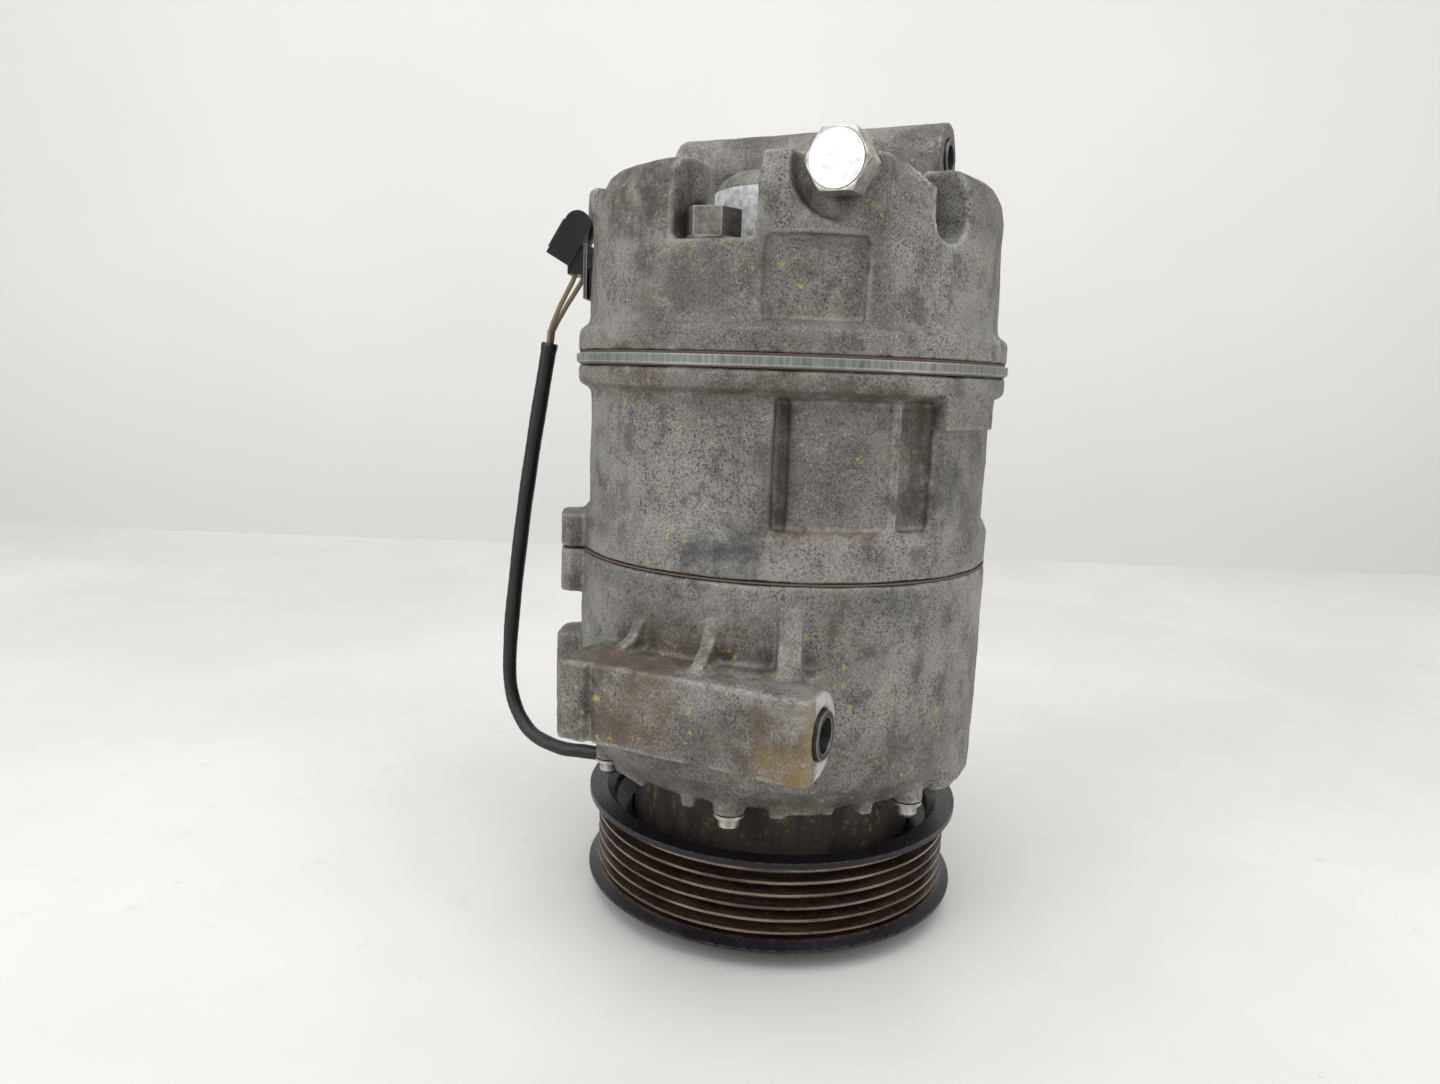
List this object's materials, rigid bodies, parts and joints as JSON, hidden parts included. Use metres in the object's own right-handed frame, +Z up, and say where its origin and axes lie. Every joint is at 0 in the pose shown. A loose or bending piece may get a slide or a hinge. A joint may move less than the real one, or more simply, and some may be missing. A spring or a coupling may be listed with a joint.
{
  "type": "swash-plate compressor with electromagnetic clutch",
  "caption": "Automotive air-conditioning compressor standing on its electromagnetic clutch: grooved belt pulley, field coil, cast case with mounting lugs, relief valve and coil lead",
  "frame": {"origin": "on the shaft line, in the front face of the clutch hub, which rests on the ground plane", "axes": "+Z runs up the shaft from clutch to rear head; -Y faces the side with the front lug and relief valve; +X runs along the bores of the mounting lugs toward the bushed end"},
  "size_m": [0.1471, 0.153, 0.2374],
  "materials": {
    "cast_aluminium": "sand-cast, dirty",
    "black_steel": "black e-coat, worn grooves",
    "bearing_steel": "ground",
    "plated_steel": "zinc plated",
    "bolt_steel": "weathered zinc",
    "spring_steel": "spring temper",
    "coil_steel": "dark, stained",
    "potting": "resin",
    "copper_wire": "enamelled",
    "black_rubber": "moulded",
    "gasket": "coated",
    "black_plastic": "moulded",
    "wire_cover": "khaki insulation",
    "bush_black": "black oxide",
    "label": "blank foil label",
    "piston_alloy": "machined, dark coated skirt",
    "shaft_steel": "ground",
    "iron": "machined",
    "terminal": "tinned"
  },
  "bodies": {
    "case": {"front_housing": "cast_aluminium", "cylinder_block": "cast_aluminium", "rear_head": "cast_aluminium", "bearing_inner_ring": "bearing_steel", "needle_bearing_cups": "bearing_steel", "thrust_race": "bearing_steel", "valve_plate": "plated_steel", "relief_valve_body": "plated_steel", "relief_valve_cap": "plated_steel", "front_bolts": "plated_steel", "connector_bracket": "plated_steel", "case_bolts": "bolt_steel", "retainer_rivet": "bolt_steel", "bearing_snap_ring": "spring_steel", "coil_snap_ring": "spring_steel", "seal_snap_ring": "spring_steel", "relief_valve_spring": "spring_steel", "suction_reed_plate": "spring_steel", "discharge_reeds": "spring_steel", "reed_retainer": "spring_steel", "coil_housing": "coil_steel", "coil_potting": "potting", "coil_winding": "copper_wire", "relief_valve_seal": "black_rubber", "lead_sleeve": "black_rubber", "wire_seals": "black_rubber", "shaft_seal": "black_rubber", "coil_lead_boot": "black_rubber", "case_gasket": "gasket", "block_gasket": "gasket", "head_gasket": "gasket", "connector_body": "black_plastic", "lead_wires": "wire_cover", "lug_bushes": "bush_black", "rear_lug_bushes": "bush_black", "blank_label": "label", "pistons": "piston_alloy", "swash_shoes": "shaft_steel", "connector_pins": "terminal"},
    "pulley": {"pulley_rotor": "black_steel", "bearing_outer_ring": "bearing_steel", "bearing_shields": "spring_steel", "pulley_snap_ring": "spring_steel"},
    "ball_set": {"bearing_balls": "bearing_steel", "bearing_cages": "spring_steel"},
    "shaft": {"drive_shaft": "shaft_steel", "clutch_hub": "shaft_steel", "hub_bolt": "bolt_steel", "hub_rivets": "bolt_steel", "hub_shims": "spring_steel", "leaf_springs": "spring_steel", "lug_plate": "iron", "swash_plate": "iron", "hinge_pin": "bolt_steel", "return_spring": "spring_steel"},
    "armature": {"armature_plate": "iron", "armature_rivets": "bolt_steel"},
    "needle_set": {"needle_rollers": "bearing_steel"},
    "thrust_set": {"thrust_rollers": "bearing_steel"},
    "relief_poppet": {"relief_valve_poppet": "piston_alloy"}
  },
  "joints": [
    {"name": "pulley_spin", "type": "hinge", "parent": "case", "child": "pulley", "pos_m": [0, 0, 0.0245], "axis": [0, 0, 1], "continuous": true},
    {"name": "ball_set_spin", "type": "hinge", "parent": "case", "child": "ball_set", "pos_m": [0, 0, 0.0245], "axis": [0, 0, 1], "continuous": true},
    {"name": "shaft_spin", "type": "hinge", "parent": "case", "child": "shaft", "pos_m": [0, 0, 0.053], "axis": [0, 0, 1], "continuous": true},
    {"name": "needle_set_spin", "type": "hinge", "parent": "case", "child": "needle_set", "pos_m": [0, 0, 0.053], "axis": [0, 0, 1], "continuous": true},
    {"name": "thrust_set_spin", "type": "hinge", "parent": "case", "child": "thrust_set", "pos_m": [0, 0, 0.063], "axis": [0, 0, 1], "continuous": true},
    {"name": "armature_pull", "type": "slide", "parent": "shaft", "child": "armature", "axis": [0, 0, 1], "range_m": [0, 0.00045], "stiffness_N_per_m": 60000, "deforming": ["leaf_springs"]},
    {"name": "relief_valve_lift", "type": "slide", "parent": "case", "child": "relief_poppet", "axis": [0, -1, 0], "range_m": [0, 0.0012], "stiffness_N_per_m": 9000, "deforming": ["relief_valve_spring"]}
  ],
  "couplings": [
    {"joint": "ball_set_spin", "follows": "pulley_spin", "ratio": 0.5875},
    {"joint": "needle_set_spin", "follows": "shaft_spin", "ratio": 0.422},
    {"joint": "thrust_set_spin", "follows": "shaft_spin", "ratio": 0.5}
  ]
}
